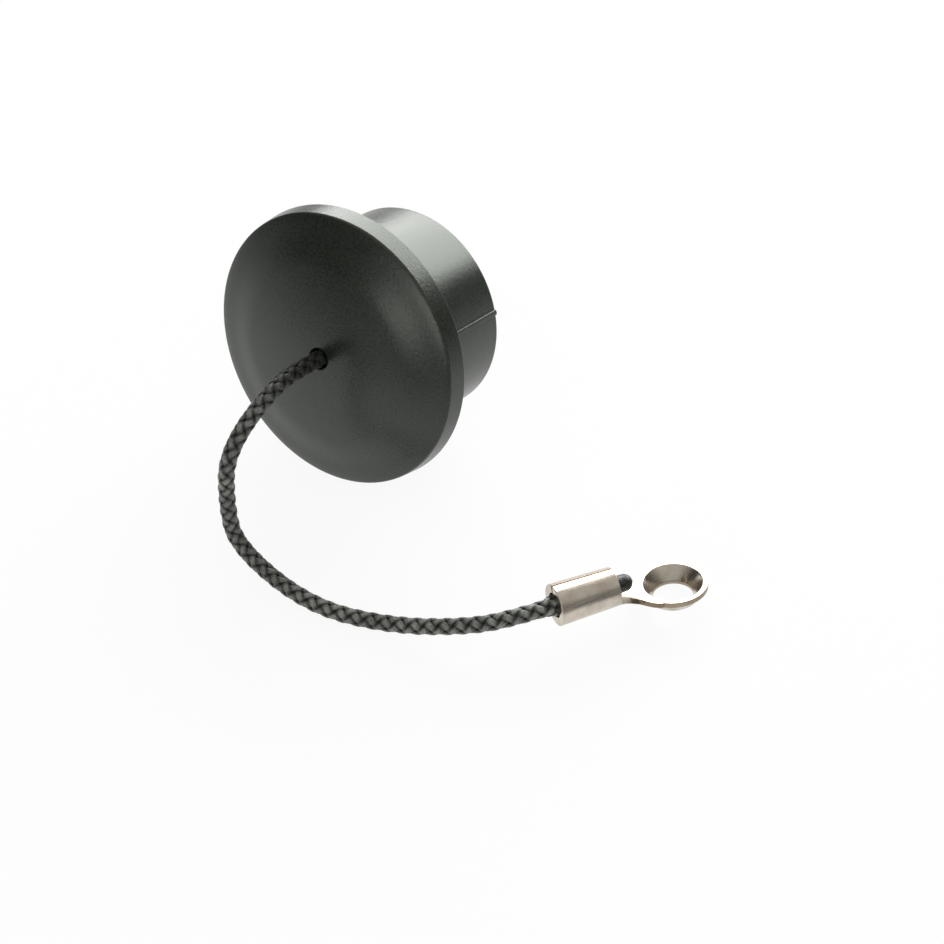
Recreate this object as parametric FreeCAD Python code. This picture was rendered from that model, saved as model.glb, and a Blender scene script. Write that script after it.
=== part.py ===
import FreeCAD, Part
import math
import os

# Sealing cap for a round audio socket, lying on its side with its retaining cord and eyelet.
# Row frame: +Z up from the table, the cap's face looks along -Y and a little upwards,
# origin under the middle of the cap's own box. Millimetres and degrees.

V = FreeCAD.Vector
AXIS_X = V(1, 0, 0)
AXIS_Z = V(0, 0, 1)
TINY = 1e-4

# Cap: domed disc
disc_d = 25.4
rim_thickness = 1.85
rim_draft = 0.18
dome_height = 2.15
face_wall = 2.0
rim_front_break = 0.15
rim_back_break = 0.1

# Cap: sleeve that plugs into the socket
sleeve_d = 18.9
sleeve_length = 9.6
sleeve_wall = 1.4
mouth_outer_break = 0.2
mouth_inner_break = 0.3
insert_depth = 6.2
insert_shoulder = 0.25
root_fill = 0.25
floor_fill = 0.5

# Cap: crush ribs along the sleeve
rib_count = 2
rib_width = 0.5
rib_height = 0.18
rib_end_gap = 0.08
rib_end_break = 0.15
rib_angle = 64.4
rib_sink = 0.5

# Cord, its hole in the face and its stopper knot
cord_d = 1.5
cord_hole_clearance = 0.22
cord_hole_break = 0.1
knot_pad_d = 5.2
knot_pad_height = 0.4
knot_d = 4.2
knot_length = 3.3
knot_seat_lip = 0.45
knot_shoulder = 0.9
knot_tail = 1.6
tail_break = 0.3

# Cord route: leads along the cap's hole and the eyelet's barrel, and chosen points between them
cord_lead_out = 1.3
cord_lead_in = 2.8
cord_route = [
    V(0, -12.6, 15.0),
    V(0, -19.1, 12.4),
    V(0, -19.85, 6.1),
    V(1.3, -20.5, 1.75),
    V(9.8, -21.1, cord_d / 2),
    V(16.8, -18.5, cord_d / 2),
    V(23.4, -15.5, 2.9),
]
corner_share = 0.45

# Eyelet: rolled barrel
barrel_mouth_d = 3.7
barrel_tail_d = 3.42
barrel_bore_d = 2.2
barrel_length = 5.55
barrel_edge_break = 0.14
seam_gap = 0.1
seam_angle = 9.0

# Eyelet: neck strip
neck_half_angle = 52.0
neck_width = 2.6
neck_thickness = 0.5
neck_overlap = 0.35
neck_inset = 0.03
neck_dip = 0.07

# Eyelet: countersunk eye
eye_d = 6.1
eye_rim_width = 0.45
eye_hole_d = 3.5
eye_depth = 1.5
eye_land = 0.3
eye_foot_wall = 0.4
eye_reach = 5.55
eye_drop = 1.55
eye_bend = 0.3
eye_tab = 0.25
eye_edge_break = 0.08

# Cord end crimped in the barrel
swell_length = 1.4
swell_d = 1.85
swell_depth = 0.5
nose_d = 1.55
nose_reach = 1.75
nose_inset = 0.7
nose_break = 0.4

# Where the eyelet lies
eyelet_x = 27.99
eyelet_y = -10.19
eyelet_heading = 60.8
eyelet_pitch = -2.5
eyelet_twist = -17.4

# Sizes that follow
disc_r = disc_d / 2
front_r = disc_r - rim_draft
sleeve_r = sleeve_d / 2
bore_r = sleeve_r - sleeve_wall
inner_r = bore_r - insert_shoulder
front_z = sleeve_length + rim_thickness
apex_z = front_z + dome_height
dome_sphere_r = (front_r ** 2 + dome_height ** 2) / (2 * dome_height)
dome_centre_z = apex_z - dome_sphere_r
floor_sphere_r = dome_sphere_r - face_wall
pad_r = knot_pad_d / 2
seat_z = apex_z - face_wall - knot_pad_height
cord_r = cord_d / 2
hole_r = cord_r + cord_hole_clearance
mouth_r = barrel_mouth_d / 2
tail_r = barrel_tail_d / 2
barrel_bore_r = barrel_bore_d / 2
eye_r = eye_d / 2
eye_hole_r = eye_hole_d / 2


def polar(radius, angle):
    """Point (y, z) at an angle from straight down, in a plane across the barrel."""
    turn = math.radians(angle)
    return radius * math.sin(turn), -radius * math.cos(turn)


def sphere_point(radius, sphere_r):
    """Point of the cap's section at a given radius on a sphere about the dome's centre."""
    return V(radius, 0, dome_centre_z + math.sqrt(sphere_r ** 2 - radius ** 2))


def closed_face(edges):
    """Flat face inside edges given in order."""
    return Part.Face(Part.Wire(edges))


def chain(points):
    """Straight edges from point to point."""
    return [Part.LineSegment(a, b).toShape() for a, b in zip(points, points[1:])]


def arc(start, middle, end):
    """Circular edge through three points."""
    return Part.Arc(start, middle, end).toShape()


def revolve(face, axis):
    """Full turn of a face about an axis through the local origin."""
    return face.revolve(V(0, 0, 0), axis, 360)


def cap_body():
    """Moulded cap about local Z: sleeve mouth at zero, domed face upwards."""
    rim_top = sphere_point(front_r - rim_front_break, dome_sphere_r)
    outside = chain([
        V(bore_r + mouth_inner_break, 0, 0),
        V(sleeve_r - mouth_outer_break, 0, 0),
        V(sleeve_r, 0, mouth_outer_break),
        V(sleeve_r, 0, sleeve_length - root_fill),
        V(sleeve_r + root_fill, 0, sleeve_length),
        V(disc_r - rim_back_break, 0, sleeve_length),
        V(disc_r, 0, sleeve_length + rim_back_break),
        V(front_r, 0, front_z - rim_front_break),
        rim_top,
    ])
    hole_top = sphere_point(hole_r + cord_hole_break, dome_sphere_r)
    dome = arc(rim_top, sphere_point(disc_r / 2, dome_sphere_r), hole_top)
    pad_top = sphere_point(pad_r, floor_sphere_r)
    floor_end = sphere_point(inner_r - floor_fill, floor_sphere_r)
    inside = chain([
        hole_top,
        V(hole_r, 0, hole_top.z - cord_hole_break),
        V(hole_r, 0, seat_z),
        V(pad_r, 0, seat_z),
        pad_top,
        floor_end,
        V(inner_r, 0, floor_end.z - floor_fill),
        V(inner_r, 0, insert_depth),
        V(bore_r, 0, insert_depth),
        V(bore_r, 0, mouth_inner_break),
        V(bore_r + mouth_inner_break, 0, 0),
    ])
    return revolve(closed_face(outside + [dome] + inside), AXIS_Z)


def rib():
    """One crush rib on the sleeve, along local +Y, with its end broken off at the mouth."""
    root = sleeve_r - rib_sink
    crest = sleeve_r + rib_height
    side = closed_face(chain([
        V(-rib_width / 2, root, rib_end_gap),
        V(-rib_width / 2, crest - rib_end_break, rib_end_gap),
        V(-rib_width / 2, crest, rib_end_gap + rib_end_break),
        V(-rib_width / 2, crest, sleeve_length),
        V(-rib_width / 2, root, sleeve_length),
        V(-rib_width / 2, root, rib_end_gap),
    ]))
    return side.extrude(V(rib_width, 0, 0))


def ribbed_cap():
    """Cap with its crush ribs spread round the sleeve."""
    solid = cap_body()
    for index in range(rib_count):
        bar = rib()
        bar.rotate(V(0, 0, 0), AXIS_Z, -(rib_angle + index * 360 / rib_count))
        solid = solid.fuse(bar)
    return solid.removeSplitter()


def knot_body():
    """Stopper knot under its seat in the cap, with the cord's cut tail, about local Z."""
    seat_r = hole_r + knot_seat_lip
    low_z = seat_z - knot_length
    tail_z = low_z - knot_tail
    section = chain([
        V(0, 0, seat_z),
        V(seat_r, 0, seat_z),
        V(knot_d / 2, 0, seat_z - knot_shoulder),
        V(knot_d / 2, 0, low_z + knot_shoulder),
        V(cord_r, 0, low_z),
        V(cord_r, 0, tail_z + tail_break),
        V(cord_r - tail_break, 0, tail_z),
        V(0, 0, tail_z),
        V(0, 0, seat_z),
    ])
    return revolve(closed_face(section), AXIS_Z)


def barrel_body():
    """Rolled barrel about local X, a little narrower at the neck, with the open seam of its edges."""
    solid = Part.makeCone(mouth_r, tail_r, barrel_length, V(0, 0, 0), AXIS_X)
    solid = solid.cut(Part.makeCylinder(barrel_bore_r, barrel_length, V(0, 0, 0), AXIS_X))
    ends = [edge for edge in solid.Edges if isinstance(edge.Curve, Part.Circle)]
    solid = solid.makeChamfer(barrel_edge_break, ends)
    slit = Part.makeBox(barrel_length, seam_gap, mouth_r, V(0, -seam_gap / 2, 0))
    slit.rotate(V(0, 0, 0), AXIS_X, -seam_angle)
    return solid.cut(slit)


def trough_wire(x, outer_r, trough_r, half_angle, drop):
    """Section of the neck as a piece of a ring, at one place along the barrel's axis."""
    rows = []
    for radius, order in ((outer_r, (-1, 0, 1)), (trough_r, (1, 0, -1))):
        points = [polar(radius, k * half_angle) for k in order]
        rows.append([V(x, y, z + drop) for y, z in points])
    outer, inner = rows
    edges = [arc(*outer), chain([outer[2], inner[0]])[0], arc(*inner), chain([inner[2], outer[0]])[0]]
    return Part.Wire(edges)


def eye_point(along, across, up):
    """Point given in the eye's own plane: along the terminal, across it, and off the rim."""
    bend = math.radians(eye_bend)
    centre = V(barrel_length + eye_reach, 0, -eye_drop)
    run = V(math.cos(bend), 0, math.sin(bend))
    normal = V(-math.sin(bend), 0, math.cos(bend))
    return centre + run * along + V(0, across, 0) + normal * up


def strip_wire(along, width):
    """Section of the flat strip where it meets the eye."""
    corners = [
        eye_point(along, -width / 2, -neck_thickness),
        eye_point(along, width / 2, -neck_thickness),
        eye_point(along, width / 2, 0),
        eye_point(along, -width / 2, 0),
    ]
    return Part.Wire(chain(corners + corners[:1]))


def neck_body():
    """Neck that opens from the barrel's lower wall into the flat strip of the eye."""
    outer_r = tail_r - neck_inset
    trough_r = barrel_bore_r + neck_inset
    return Part.makeLoft([
        trough_wire(barrel_length - neck_overlap, outer_r, trough_r, neck_half_angle, 0),
        trough_wire(barrel_length + neck_overlap, outer_r, trough_r, neck_half_angle, -neck_dip),
        strip_wire(-eye_r - eye_tab, neck_width),
    ], True, False)


def eye_body():
    """Countersunk eye with the tab that joins it to the neck."""
    tab_x = -eye_r - eye_tab
    tab_r = math.hypot(tab_x, neck_width / 2)
    touch = math.pi - math.atan2(neck_width / 2, -tab_x) - math.acos(eye_r / tab_r)
    near = V(eye_r * math.cos(touch), -eye_r * math.sin(touch), 0)
    far = V(near.x, -near.y, 0)
    low = V(tab_x, -neck_width / 2, 0)
    high = V(tab_x, neck_width / 2, 0)
    outline = chain([far, high, low, near]) + [arc(near, V(eye_r, 0, 0), far)]
    plate = closed_face(outline).extrude(V(0, 0, -neck_thickness))
    foot_r = eye_hole_r + eye_foot_wall
    cup = Part.makeCone(foot_r, eye_r, eye_depth, V(0, 0, -eye_depth))
    solid = plate.fuse(cup)
    cone_depth = eye_depth - eye_land
    sink = Part.makeCone(eye_hole_r, eye_r - eye_rim_width, cone_depth, V(0, 0, -cone_depth))
    hole = Part.makeCylinder(eye_hole_r, eye_depth, V(0, 0, -eye_depth))
    solid = solid.cut(sink).cut(hole)
    tops = [edge for edge in solid.Edges if max(abs(v.Z) for v in edge.Vertexes) < TINY]
    tops = [edge for edge in tops if edge.CenterOfMass.x > tab_x + TINY]
    solid = solid.makeChamfer(eye_edge_break, tops)
    turn = FreeCAD.Rotation(V(0, 1, 0), -eye_bend)
    solid.Placement = FreeCAD.Placement(eye_point(0, 0, 0), turn)
    return solid


def eyelet_body():
    """Eyelet pressed from one strip, in its own frame: barrel along local X from its mouth."""
    solid = barrel_body().fuse([neck_body(), eye_body()])
    return solid.removeSplitter()


def cord_end_body():
    """Crimped cord end about local X: it swells into the barrel and ends in a melted nose."""
    nose_r = nose_d / 2
    nose_start = barrel_length - nose_inset
    nose_tip = barrel_length + nose_reach
    section = chain([
        V(-swell_length, 0, 0),
        V(-swell_length, 0, cord_r),
        V(0, 0, swell_d / 2),
        V(swell_depth, 0, barrel_bore_r),
        V(nose_start, 0, barrel_bore_r),
        V(barrel_length, 0, nose_r),
        V(nose_tip - nose_break, 0, nose_r),
        V(nose_tip, 0, nose_r - nose_break),
        V(nose_tip, 0, 0),
        V(-swell_length, 0, 0),
    ])
    return revolve(closed_face(section), AXIS_X)


def round_route(points):
    """Path of straight runs joined by tangent arcs, with the radius of each arc."""
    edges = []
    radii = []
    start = points[0]
    for before, corner, after in zip(points, points[1:], points[2:]):
        reach = corner_share * min((corner - before).Length, (after - corner).Length)
        back = (before - corner).normalize()
        ahead = (after - corner).normalize()
        half_turn = (math.pi - back.getAngle(ahead)) / 2
        radius = reach / math.tan(half_turn)
        towards = (back + ahead).normalize()
        middle = corner + towards * (radius / math.cos(half_turn) - radius)
        first = corner + back * reach
        last = corner + ahead * reach
        edges.append(Part.LineSegment(start, first).toShape())
        edges.append(Part.Arc(first, middle, last).toShape())
        radii.append(radius)
        start = last
    edges.append(Part.LineSegment(start, points[-1]).toShape())
    return Part.Wire(edges), radii


def tube(points):
    """Round tube along a route of points."""
    path, radii = round_route(points)
    section = Part.Wire(Part.Circle(points[0], points[1] - points[0], cord_r).toShape())
    solid = path.makePipeShell([section], True, False)
    drawn = math.pi * cord_r ** 2 * path.Length
    print("cord run length", round(path.Length, 2), "volume ratio", round(solid.Volume / drawn, 4))
    print("cord radii", [round(radius, 1) for radius in radii])
    return solid


def cap_tilt():
    """Lean of the cap's axis when the rim's back edge and the sleeve's end edge touch the table."""
    along = sleeve_length + rim_back_break - mouth_outer_break
    return math.degrees(math.atan2(disc_r - sleeve_r, along))


def cap_place(body):
    """Placement that lays the cap on its side with the middle of its box over the origin."""
    turn = FreeCAD.Rotation(AXIS_X, 90 - cap_tilt())
    laid = body.copy()
    laid.Placement = FreeCAD.Placement(V(0, 0, 0), turn)
    box = laid.optimalBoundingBox(False, False)
    return FreeCAD.Placement(V(-box.Center.x, -box.Center.y, -box.ZMin), turn)


def eyelet_place(body):
    """Placement that lays the eyelet beside the cap, its lowest edge on the table."""
    turn = FreeCAD.Rotation(eyelet_heading, -eyelet_pitch, eyelet_twist)
    laid = body.copy()
    laid.Placement = FreeCAD.Placement(V(0, 0, 0), turn)
    return FreeCAD.Placement(V(eyelet_x, eyelet_y, -laid.optimalBoundingBox(False, False).ZMin), turn)


def put(solid, place):
    """Copy of a solid, moved from its own frame to its place."""
    moved = solid.copy()
    moved.Placement = place.multiply(solid.Placement)
    return moved


def show_mount(name, place, point, axis):
    """Print a mount's place and direction in the row frame."""
    at = place.multVec(point)
    way = place.Rotation.multVec(axis)
    print(name, [round(c, 3) for c in at], [round(c, 5) for c in way])


cap_local = ribbed_cap()
eyelet_local = eyelet_body()
cap_at = cap_place(cap_local)
eyelet_at = eyelet_place(eyelet_local)

cap_axis = cap_at.Rotation.multVec(AXIS_Z)
barrel_axis = eyelet_at.Rotation.multVec(AXIS_X)
cord_seat = cap_at.multVec(V(0, 0, seat_z))
cord_exit = cap_at.multVec(V(0, 0, apex_z))
barrel_mouth = eyelet_at.multVec(V(0, 0, 0))
lead_out = cord_exit + cap_axis * cord_lead_out
lead_in = barrel_mouth - barrel_axis * cord_lead_in
route = [cord_seat, lead_out] + cord_route + [lead_in, barrel_mouth]

cord_solid = tube(route).fuse(put(cord_end_body(), eyelet_at)).removeSplitter()

nodes = {
    "cap": put(cap_local, cap_at),
    "cord": cord_solid,
    "cord_knot": put(knot_body(), cap_at),
    "eyelet": put(eyelet_local, eyelet_at),
}

os.makedirs("parts", exist_ok=True)
for name, shape in nodes.items():
    shape.exportStep("parts/" + name + ".step")
    print(name, "solids", len(shape.Solids), "valid", shape.isValid(), "volume", round(shape.Volume, 2))

print("cap lean", round(cap_tilt(), 3))
print("route", [[round(c, 3) for c in point] for point in route])
print("cord exit", [round(c, 3) for c in cord_exit])
sleeve_mid = (mouth_outer_break + sleeve_length - root_fill) / 2
bore_mid = (mouth_inner_break + insert_depth) / 2
eye_way = eye_point(0, 0, 1) - eye_point(0, 0, 0)
show_mount("sleeve_plug", cap_at, V(0, 0, sleeve_mid), V(0, 0, -1))
show_mount("sleeve_bore", cap_at, V(0, 0, bore_mid), V(0, 0, -1))
show_mount("seat_face", cap_at, V(0, (disc_r + sleeve_r) / 2, sleeve_length), V(0, 0, -1))
show_mount("eye", eyelet_at, eye_point(0, 0, eye_land / 2 - eye_depth), eye_way)
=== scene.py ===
import bisect
import logging
import math
from dataclasses import dataclass, field
from enum import Enum
from typing import Callable

import bmesh
import bpy
from bmesh.types import BMEdge, BMesh, BMFace, BMVert
from bpy.types import Material, NodeSocket, NodeTree, Object
from bpy.types import Node as ShaderNode
from mathutils import Matrix, Vector


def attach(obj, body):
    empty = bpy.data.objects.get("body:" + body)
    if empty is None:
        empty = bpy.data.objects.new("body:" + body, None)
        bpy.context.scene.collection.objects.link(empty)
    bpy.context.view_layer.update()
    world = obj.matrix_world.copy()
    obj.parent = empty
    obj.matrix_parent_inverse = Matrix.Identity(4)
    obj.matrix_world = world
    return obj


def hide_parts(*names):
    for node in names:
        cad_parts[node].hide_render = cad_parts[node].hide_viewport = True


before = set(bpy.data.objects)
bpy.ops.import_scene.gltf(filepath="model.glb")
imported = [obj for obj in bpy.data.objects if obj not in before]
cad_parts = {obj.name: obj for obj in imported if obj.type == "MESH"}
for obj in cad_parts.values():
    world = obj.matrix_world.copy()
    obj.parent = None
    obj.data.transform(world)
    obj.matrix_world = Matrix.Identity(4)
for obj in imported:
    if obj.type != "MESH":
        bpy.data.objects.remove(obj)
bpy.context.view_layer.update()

Place = tuple[float, float, float]
Colour = tuple[float, float, float]
Span = tuple[float, float]

LOG = logging.getLogger("dummy_plug")
MM = 0.001
ORIGIN = (0.0, 0.0, 0.0)
ALONG_Y = (0.0, 1.0, 0.0)
ALONG_Z = (0.0, 0.0, 1.0)
AGAINST_X = (-1.0, 0.0, 0.0)
WHITE = (1.0, 1.0, 1.0, 1.0)
WHOLE = (0.0, 1.0)
MERGE_MM = 1e-4
SAME_MM = 2e-3


class Body(Enum):
    """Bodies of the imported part."""

    ROOT = "root"


class Node(Enum):
    """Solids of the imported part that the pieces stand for."""

    CAP = "cap"
    CORD = "cord"
    KNOT = "cord_knot"
    EYELET = "eyelet"


class Slot(Enum):
    """Material slots of the record."""

    CAP = "cap_plastic"
    CORD = "cord_braid"
    EYELET = "eyelet_metal"


class Lean(Enum):
    """Way in which a strand winds round the cord."""

    RIGHT = 1
    LEFT = -1


class Mark(Enum):
    """Attributes that a mesh carries for its finish."""

    CUT = "cut"
    # painted highlight on the braid's strand crowns, painted shade under them and near the cap, carried as
    # a colour mark
    PAINTED_LIGHT = "crown"
    ALONG = "along_strand"


@dataclass(frozen=True)
class Lay:
    """Frame of a sub-assembly: its zero point in the row frame and its turn, in millimetres."""

    zero: Vector
    turn: Matrix

    def to_row(self) -> Matrix:
        """Matrix from the sub-assembly's millimetres to the row frame's metres."""
        return Matrix.Scale(MM, 4) @ Matrix.Translation(self.zero) @ self.turn

    def point(self, local: Place) -> Vector:
        """Point of the row frame, in millimetres, for a point of the sub-assembly."""
        return self.zero + (self.turn @ Vector(local))


def soft_rise(value: float, span: Span) -> float:
    """Soft rise from 0 at the start of a span to 1 at its end."""
    share = min(1.0, max(0.0, (value - span[0]) / (span[1] - span[0])))
    return share * share * (3 - 2 * share)


def verts_of(result: dict, key: str = "geom") -> list[BMVert]:
    """Vertices among what a bmesh operator made."""
    return [item for item in result[key] if isinstance(item, BMVert)]


def ring_edges(bm: BMesh, radius: float, height: float) -> list[BMEdge]:
    """Edges that run round local Z at one radius and height.

    Args:
        bm: Mesh to search.
        radius: Distance from local Z, in millimetres.
        height: Place along local Z, in millimetres.

    Returns:
        The edges whose two ends lie on that ring.
    """
    def on_ring(vert: BMVert) -> bool:
        """True where a vertex lies on the ring."""
        return abs(vert.co.xy.length - radius) < SAME_MM and abs(vert.co.z - height) < SAME_MM

    return [edge for edge in bm.edges if all(on_ring(vert) for vert in edge.verts)]


def round_off(bm: BMesh, edges: list[BMEdge], offset: float, segments: int) -> None:
    """Round edges off.

    Args:
        bm: Mesh that holds the edges.
        edges: Edges to round.
        offset: Width that the rounding takes from each side, in millimetres.
        segments: Facets across the rounding.
    """
    bmesh.ops.bevel(
        bm, geom=edges, offset=offset, offset_type="OFFSET", segments=segments,
        profile=0.5, affect="EDGES", material=-1, clamp_overlap=True,
    )


def draw_out(bm: BMesh, faces: list[BMFace]) -> tuple[list[BMFace], list[BMVert]]:
    """Extrude faces as one region, with walls round it and nothing left inside.

    Args:
        bm: Mesh that holds the faces.
        faces: Faces to draw out.

    Returns:
        The new faces and their vertices, still where the old ones were.
    """
    made = bmesh.ops.extrude_face_region(bm, geom=faces)
    bmesh.ops.delete(bm, geom=faces, context="FACES")
    return [item for item in made["geom"] if isinstance(item, BMFace)], verts_of(made)


def spin_round(bm: BMesh, axis: Place, steps: int) -> None:
    """Sweep everything in the mesh once round an axis through zero and close it.

    Args:
        bm: Mesh that holds the section.
        axis: Axis of the sweep.
        steps: Columns round the axis.
    """
    bmesh.ops.spin(
        bm, geom=bm.verts[:] + bm.edges[:], cent=ORIGIN, axis=axis, angle=math.tau,
        steps=steps, use_merge=True, use_duplicate=False,
    )
    bmesh.ops.remove_doubles(bm, verts=bm.verts, dist=MERGE_MM)
    bmesh.ops.dissolve_degenerate(bm, edges=bm.edges, dist=MERGE_MM)
    bmesh.ops.recalc_face_normals(bm, faces=bm.faces)


def settle(name: str, bm: BMesh) -> bpy.types.Mesh:
    """Turn a working mesh into a lasting one.

    Args:
        name: Name of the lasting mesh.
        bm: Working mesh; it is used up.

    Returns:
        The lasting mesh.
    """
    mesh = bpy.data.meshes.new(name)
    bm.to_mesh(mesh)
    bm.free()
    return mesh


def pour_into(bm: BMesh, part: BMesh) -> None:
    """Add a part to a working mesh.

    Args:
        bm: Mesh that takes the part.
        part: Mesh of the part; it is used up.
    """
    passing = settle("passing", part)
    bm.from_mesh(passing)
    bpy.data.meshes.remove(passing)


def put_in_scene(name: str, data: bpy.types.ID) -> Object:
    """Make an object.

    Args:
        name: Name of the object.
        data: Its mesh, curve, lamp or camera.

    Returns:
        The object, linked to the scene.
    """
    made = bpy.data.objects.new(name, data)
    bpy.context.scene.collection.objects.link(made)
    return made


def around(side: Vector, up: Vector, angle: float) -> Vector:
    """Direction at an angle from one cross direction towards the other."""
    return side * math.cos(angle) + up * math.sin(angle)


class SectionLine:
    """Outline of a turned shape, drawn point by point in the plane of X and Z."""

    def __init__(self, bm: BMesh) -> None:
        """Start an empty outline.

        Args:
            bm: Mesh that takes it.
        """
        self.bm = bm
        self.first: BMVert | None = None
        self.last: BMVert | None = None

    def to(self, *points: Span) -> None:
        """Go on by straight runs.

        Args:
            points: Places as (x, z), in millimetres.
        """
        for x, z in points:
            vert = self.bm.verts.new((x, 0.0, z))
            if self.last is None:
                self.first = vert
            else:
                self.bm.edges.new((self.last, vert))
            self.last = vert

    def swing(self, centre: Span, angle: float, steps: int) -> list[BMVert]:
        """Go on by an arc.

        Args:
            centre: Middle of the arc as (x, z), in millimetres.
            angle: Turn in radians, from Z towards X where positive.
            steps: Runs along the arc.

        Returns:
            The points of the arc, its start among them.
        """
        before = set(self.bm.verts)
        before.discard(self.last)
        made = bmesh.ops.spin(
            self.bm, geom=[self.last], cent=(centre[0], 0.0, centre[1]), axis=ALONG_Y,
            angle=angle, steps=steps, use_duplicate=False,
        )
        self.last = verts_of(made, "geom_last")[0]
        return [vert for vert in self.bm.verts if vert not in before]

    def close(self) -> None:
        """Join the end to the start."""
        self.bm.edges.new((self.last, self.first))


def make_piece(name: str, bm: BMesh, place: Matrix, sharp_deg: float) -> Object:
    """Turn a finished mesh into a piece that rides on the part.

    Args:
        name: Name of the piece.
        bm: Mesh in the sub-assembly's own millimetres; it is used up.
        place: Matrix from there to the row frame's metres.
        sharp_deg: Angle between faces from which an edge is shaded sharp.

    Returns:
        The new object, at the origin with its place in its mesh.
    """
    bm.transform(place)
    mesh = settle(name, bm)
    mesh.shade_smooth()
    mesh.set_sharp_from_angle(angle=math.radians(sharp_deg))
    piece = put_in_scene(name, mesh)
    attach(piece, Body.ROOT.value)
    return piece


def even_shading(piece: Object) -> None:
    """Let wide faces stay plain beside their rounded edges."""
    weighted = piece.modifiers.new("even_shading", "WEIGHTED_NORMAL")
    weighted.keep_sharp = True


class NodeBoard:
    """Node tree of a material or a group, with short calls to add and join nodes."""

    def __init__(self, tree: NodeTree) -> None:
        """Work on a node tree."""
        self.tree = tree

    def feed(self, socket: NodeSocket, value: object) -> None:
        """Join an output to a socket, or set the socket to a plain value.

        Args:
            socket: Input socket.
            value: Output socket or plain value.
        """
        if isinstance(value, NodeSocket):
            self.tree.links.new(value, socket)
        else:
            socket.default_value = value

    def wire(self, node: ShaderNode, **inputs: object) -> None:
        """Feed sockets of a node, each by its name with spaces as underscores."""
        for name, value in inputs.items():
            self.feed(node.inputs[name.replace("_", " ")], value)

    def add(self, kind: str, settings: dict | None = None, **inputs: object) -> ShaderNode:
        """Add a node.

        Args:
            kind: Type of the node.
            settings: Properties of the node by name.
            inputs: Sockets to feed, as for wire.

        Returns:
            The new node.
        """
        node = self.tree.nodes.new(kind)
        for name, value in (settings or {}).items():
            setattr(node, name, value)
        self.wire(node, **inputs)
        return node

    def combine(self, operation: str, first: object, second: object) -> NodeSocket:
        """Sum, product or the like.

        Args:
            operation: Name of the operation.
            first: Socket or value.
            second: Socket or value.

        Returns:
            Socket with the result.
        """
        node = self.add("ShaderNodeMath", {"operation": operation})
        self.feed(node.inputs[0], first)
        self.feed(node.inputs[1], second)
        return node.outputs["Value"]

    def scaled(self, value: NodeSocket, tone: Span) -> NodeSocket:
        """Value times the first number of a pair, plus the second."""
        return self.combine("ADD", self.combine("MULTIPLY", value, tone[0]), tone[1])

    def blend(self, share: NodeSocket, *colours: Colour) -> NodeSocket:
        """Colour that goes through the given ones as the share goes from 0 to 1.

        Args:
            share: Socket with the share.
            colours: Colours, evenly spaced.

        Returns:
            Socket with the colour.
        """
        ramp = self.add("ShaderNodeValToRGB", Fac=share)
        stops = ramp.color_ramp.elements
        while len(stops) < len(colours):
            stops.new(1.0)
        for index, colour in enumerate(colours):
            stops[index].position = index / (len(colours) - 1)
            stops[index].color = (*colour, 1.0)
        return ramp.outputs["Color"]

    def spread(self, value: NodeSocket, span: Span, result: Span) -> NodeSocket:
        """Value mapped from one span to another, softly at both ends.

        Args:
            value: Socket with the value.
            span: Lowest and highest value that count.
            result: What they become.

        Returns:
            Socket with the mapped value.
        """
        node = self.add(
            "ShaderNodeMapRange", {"interpolation_type": "SMOOTHSTEP"}, Value=value,
            From_Min=span[0], From_Max=span[1], To_Min=result[0], To_Max=result[1],
        )
        return node.outputs["Result"]

    def relief(self, height: NodeSocket, strength: float, depth: float) -> NodeSocket:
        """Normal of a fine relief, whose depth is in metres."""
        node = self.add("ShaderNodeBump", Height=height, Strength=strength, Distance=depth)
        return node.outputs["Normal"]


@dataclass
class SharedEffects:
    """Surface effects that more than one finish uses, each built once as a node group."""

    fine_ratio: float = 2.3
    fine_share: float = 0.5
    pit_span: Span = (0.36, 0.58)
    drift_span: Span = (0.3, 0.7)
    made: dict[str, NodeTree] = field(default_factory=dict)

    def _begin(self, name: str, outputs: list[str]) -> tuple[NodeBoard, dict, dict]:
        """Open a new group that takes coordinates and a scale.

        Args:
            name: Name of the group.
            outputs: Names of the values that the group puts out.

        Returns:
            The board, the input sockets and the output sockets by name.
        """
        tree = bpy.data.node_groups.new(name, "ShaderNodeTree")
        for label, kind in (("Vector", "NodeSocketVector"), ("Scale", "NodeSocketFloat")):
            tree.interface.new_socket(name=label, in_out="INPUT", socket_type=kind)
        for label in outputs:
            tree.interface.new_socket(name=label, in_out="OUTPUT", socket_type="NodeSocketFloat")
        self.made[name] = tree
        board = NodeBoard(tree)
        return board, board.add("NodeGroupInput").outputs, board.add("NodeGroupOutput").inputs

    def grain(self) -> NodeTree:
        """Fine grain of a moulded or drawn surface: its height and a mask of its pits.

        Returns:
            The node group.
        """
        if "fine_grain" in self.made:
            return self.made["fine_grain"]
        board, given, out = self._begin("fine_grain", ["Height", "Pits"])
        coarse = board.add(
            "ShaderNodeTexNoise", Vector=given["Vector"], Scale=given["Scale"], Detail=3.0, Roughness=0.6,
        ).outputs["Fac"]
        fine_scale = board.combine("MULTIPLY", given["Scale"], self.fine_ratio)
        fine = board.add("ShaderNodeTexNoise", Vector=given["Vector"], Scale=fine_scale, Detail=1.0)
        fine_part = board.combine("MULTIPLY", fine.outputs["Fac"], self.fine_share)
        board.feed(out["Height"], board.combine("ADD", coarse, fine_part))
        board.feed(out["Pits"], board.spread(coarse, self.pit_span, (1.0, 0.0)))
        return board.tree

    def mottle(self) -> NodeTree:
        """Slow drift of tone or gloss from handling and moulding.

        Returns:
            The node group.
        """
        if "slow_mottle" in self.made:
            return self.made["slow_mottle"]
        board, given, out = self._begin("slow_mottle", ["Drift"])
        noise = board.add(
            "ShaderNodeTexNoise", Vector=given["Vector"], Scale=given["Scale"], Detail=4.0, Roughness=0.55,
        )
        board.feed(out["Drift"], board.spread(noise.outputs["Fac"], self.drift_span, WHOLE))
        return board.tree


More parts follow.
